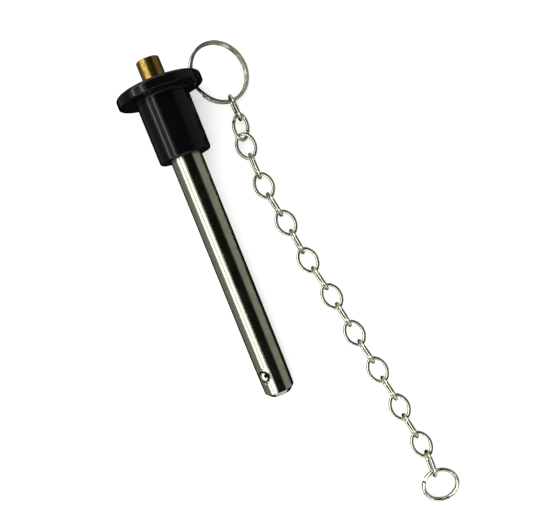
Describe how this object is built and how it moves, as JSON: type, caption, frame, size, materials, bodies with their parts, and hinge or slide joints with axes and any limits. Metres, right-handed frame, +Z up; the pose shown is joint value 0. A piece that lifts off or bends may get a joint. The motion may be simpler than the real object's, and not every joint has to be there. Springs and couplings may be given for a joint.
{
  "type": "ball lock pin",
  "caption": "Quick-release pin with spring button, locking balls, flanged handle, and a split ring and chain that keep it with its machine.",
  "frame": {"origin": "on the pin's axis at the handle's shoulder, where the shank comes out; the pin lies on its side as it rests", "axes": "+Z up from the floor, +X along the pin towards the nose (the pin's axis dips 5 degrees below +X), +Y towards the chain"},
  "size_m": [0.1633, 0.0564, 0.0271],
  "materials": {
    "black_handle": "black anodised, semi-gloss",
    "ground_steel": "ground stainless steel",
    "inner_steel": "plain turned and drawn steel, out of sight",
    "ball_steel": "polished hardened steel",
    "brass_button": "turned brass, gold tone",
    "nickel_ring": "bright nickel-plated steel",
    "nickel_chain": "bright nickel-plated steel"
  },
  "bodies": {
    "pin_body": {"handle": "black_handle", "shank": "ground_steel", "return_spring": "inner_steel"},
    "button": {"push_button": "brass_button", "spindle": "inner_steel"},
    "ball_1": {"locking_ball_1": "ball_steel"},
    "ball_2": {"locking_ball_2": "ball_steel"},
    "split_ring": {"split_ring": "nickel_ring"},
    "link_01": {"chain_link_01": "nickel_chain"},
    "link_02": {"chain_link_02": "nickel_chain"},
    "link_03": {"chain_link_03": "nickel_chain"},
    "link_04": {"chain_link_04": "nickel_chain"},
    "link_05": {"chain_link_05": "nickel_chain"},
    "link_06": {"chain_link_06": "nickel_chain"},
    "link_07": {"chain_link_07": "nickel_chain"},
    "link_08": {"chain_link_08": "nickel_chain"},
    "link_09": {"chain_link_09": "nickel_chain"},
    "link_10": {"chain_link_10": "nickel_chain"},
    "link_11": {"chain_link_11": "nickel_chain"},
    "link_12": {"chain_link_12": "nickel_chain"},
    "link_13": {"chain_link_13": "nickel_chain"},
    "link_14": {"chain_link_14": "nickel_chain"},
    "link_15": {"chain_link_15": "nickel_chain"},
    "link_16": {"chain_link_16": "nickel_chain"},
    "link_17": {"chain_link_17": "nickel_chain"},
    "link_18": {"chain_link_18": "nickel_chain"},
    "link_19": {"chain_link_19": "nickel_chain"},
    "link_20": {"chain_link_20": "nickel_chain"},
    "jump_ring": {"jump_ring": "nickel_ring"}
  },
  "joints": [
    {"name": "button_press", "type": "slide", "parent": "pin_body", "child": "button", "axis": [0.9962, 0, -0.0872], "range_m": [0, 0.0036], "stiffness_N_per_m": 1500, "springref_m": -0.002, "deforming": ["return_spring"]},
    {"name": "ball_1_slide", "type": "slide", "parent": "pin_body", "child": "ball_1", "axis": [-0.0747, 0.5161, -0.8533], "range_m": [0, 0.00106]},
    {"name": "ball_2_slide", "type": "slide", "parent": "pin_body", "child": "ball_2", "axis": [0.0747, -0.5161, 0.8533], "range_m": [0, 0.00106]},
    {"name": "split_ring_swing", "type": "hinge", "parent": "pin_body", "child": "split_ring", "pos_m": [-0.02151, 0.01043, -0.00092], "axis": [0.9962, 0, -0.0872], "range_deg": [-85, 120]},
    {"name": "chain_link_01_swing", "type": "hinge", "parent": "split_ring", "child": "link_01", "pos_m": [-0.01256, 0.01896, -0.00684], "axis": [-0.0969, 0.8564, -0.5071], "range_deg": [-90, 90]},
    {"name": "chain_link_02_swing", "type": "hinge", "parent": "link_01", "child": "link_02", "pos_m": [-0.00608, 0.01945, -0.00734], "axis": [-0.0705, -0.179, -0.9813], "range_deg": [-40, 12]},
    {"name": "chain_link_03_swing", "type": "hinge", "parent": "link_02", "child": "link_03", "pos_m": [-0.00008, 0.01767, -0.00787], "axis": [0.1094, 0.6887, -0.7168], "range_deg": [-25, 12]},
    {"name": "chain_link_04_swing", "type": "hinge", "parent": "link_03", "child": "link_04", "pos_m": [0.00615, 0.01813, -0.00839], "axis": [-0.0319, 0.9989, 0.0348], "range_deg": [-90, 90]},
    {"name": "chain_link_05_swing", "type": "hinge", "parent": "link_04", "child": "link_05", "pos_m": [0.01302, 0.0185, -0.00834], "axis": [0.0082, -0.1562, -0.9877], "range_deg": [-90, 16]},
    {"name": "chain_link_06_swing", "type": "hinge", "parent": "link_05", "child": "link_06", "pos_m": [0.01989, 0.01899, -0.00834], "axis": [0.0689, -0.9853, 0.1564], "range_deg": [-90, 90]},
    {"name": "chain_link_07_swing", "type": "hinge", "parent": "link_06", "child": "link_07", "pos_m": [0.0266, 0.02051, -0.00834], "axis": [0.0325, -0.153, -0.9877], "range_deg": [-90, 21]},
    {"name": "chain_link_08_swing", "type": "hinge", "parent": "link_07", "child": "link_08", "pos_m": [0.03338, 0.02168, -0.00834], "axis": [0.1715, -0.9727, 0.1564], "range_deg": [-90, 90]},
    {"name": "chain_link_09_swing", "type": "hinge", "parent": "link_08", "child": "link_09", "pos_m": [0.0402, 0.02262, -0.00834], "axis": [-0.0218, 0.1549, 0.9877], "range_deg": [-26, 90]},
    {"name": "chain_link_10_swing", "type": "hinge", "parent": "link_09", "child": "link_10", "pos_m": [0.04694, 0.02396, -0.00834], "axis": [0.1885, -0.9695, 0.1564], "range_deg": [-90, 90]},
    {"name": "chain_link_11_swing", "type": "hinge", "parent": "link_10", "child": "link_11", "pos_m": [0.05364, 0.02553, -0.00834], "axis": [-0.0352, 0.1524, 0.9877], "range_deg": [-38, 90]},
    {"name": "chain_link_12_swing", "type": "hinge", "parent": "link_11", "child": "link_12", "pos_m": [0.06037, 0.02695, -0.00834], "axis": [-0.2054, 0.9661, -0.1564], "range_deg": [-90, 90]},
    {"name": "chain_link_13_swing", "type": "hinge", "parent": "link_12", "child": "link_13", "pos_m": [0.06715, 0.02812, -0.00834], "axis": [-0.0272, 0.1541, 0.9877], "range_deg": [-56, 90]},
    {"name": "chain_link_14_swing", "type": "hinge", "parent": "link_13", "child": "link_14", "pos_m": [0.07393, 0.02932, -0.00834], "axis": [0.1715, -0.9727, 0.1564], "range_deg": [-90, 90]},
    {"name": "chain_link_15_swing", "type": "hinge", "parent": "link_14", "child": "link_15", "pos_m": [0.08066, 0.03077, -0.00834], "axis": [0.0325, -0.153, -0.9877], "range_deg": [-90, 85]},
    {"name": "chain_link_16_swing", "type": "hinge", "parent": "link_15", "child": "link_16", "pos_m": [0.08743, 0.03194, -0.00834], "axis": [-0.1715, 0.9727, -0.1564], "range_deg": [-90, 90]},
    {"name": "chain_link_17_swing", "type": "hinge", "parent": "link_16", "child": "link_17", "pos_m": [0.09419, 0.03327, -0.00834], "axis": [-0.0298, 0.1536, 0.9877], "range_deg": [-90, 90]},
    {"name": "chain_link_18_swing", "type": "hinge", "parent": "link_17", "child": "link_18", "pos_m": [0.10103, 0.03393, -0.00834], "axis": [-0.1032, 0.9823, -0.1564], "range_deg": [-90, 90]},
    {"name": "chain_link_19_swing", "type": "hinge", "parent": "link_18", "child": "link_19", "pos_m": [0.1078, 0.03517, -0.00834], "axis": [0.0272, -0.1541, -0.9877], "range_deg": [-90, 90]},
    {"name": "chain_link_20_swing", "type": "hinge", "parent": "link_19", "child": "link_20", "pos_m": [0.11456, 0.03649, -0.00834], "axis": [-0.1885, 0.9695, -0.1564], "range_deg": [-90, 90]},
    {"name": "jump_ring_swing", "type": "hinge", "parent": "link_20", "child": "jump_ring", "pos_m": [0.12143, 0.03599, -0.00834], "axis": [0.0082, 0.1562, 0.9877], "range_deg": [-90, 80]}
  ],
  "couplings": [
    {"joint": "ball_1_slide", "follows": "button_press", "ratio": 0.29167},
    {"joint": "ball_2_slide", "follows": "button_press", "ratio": 0.29167}
  ]
}
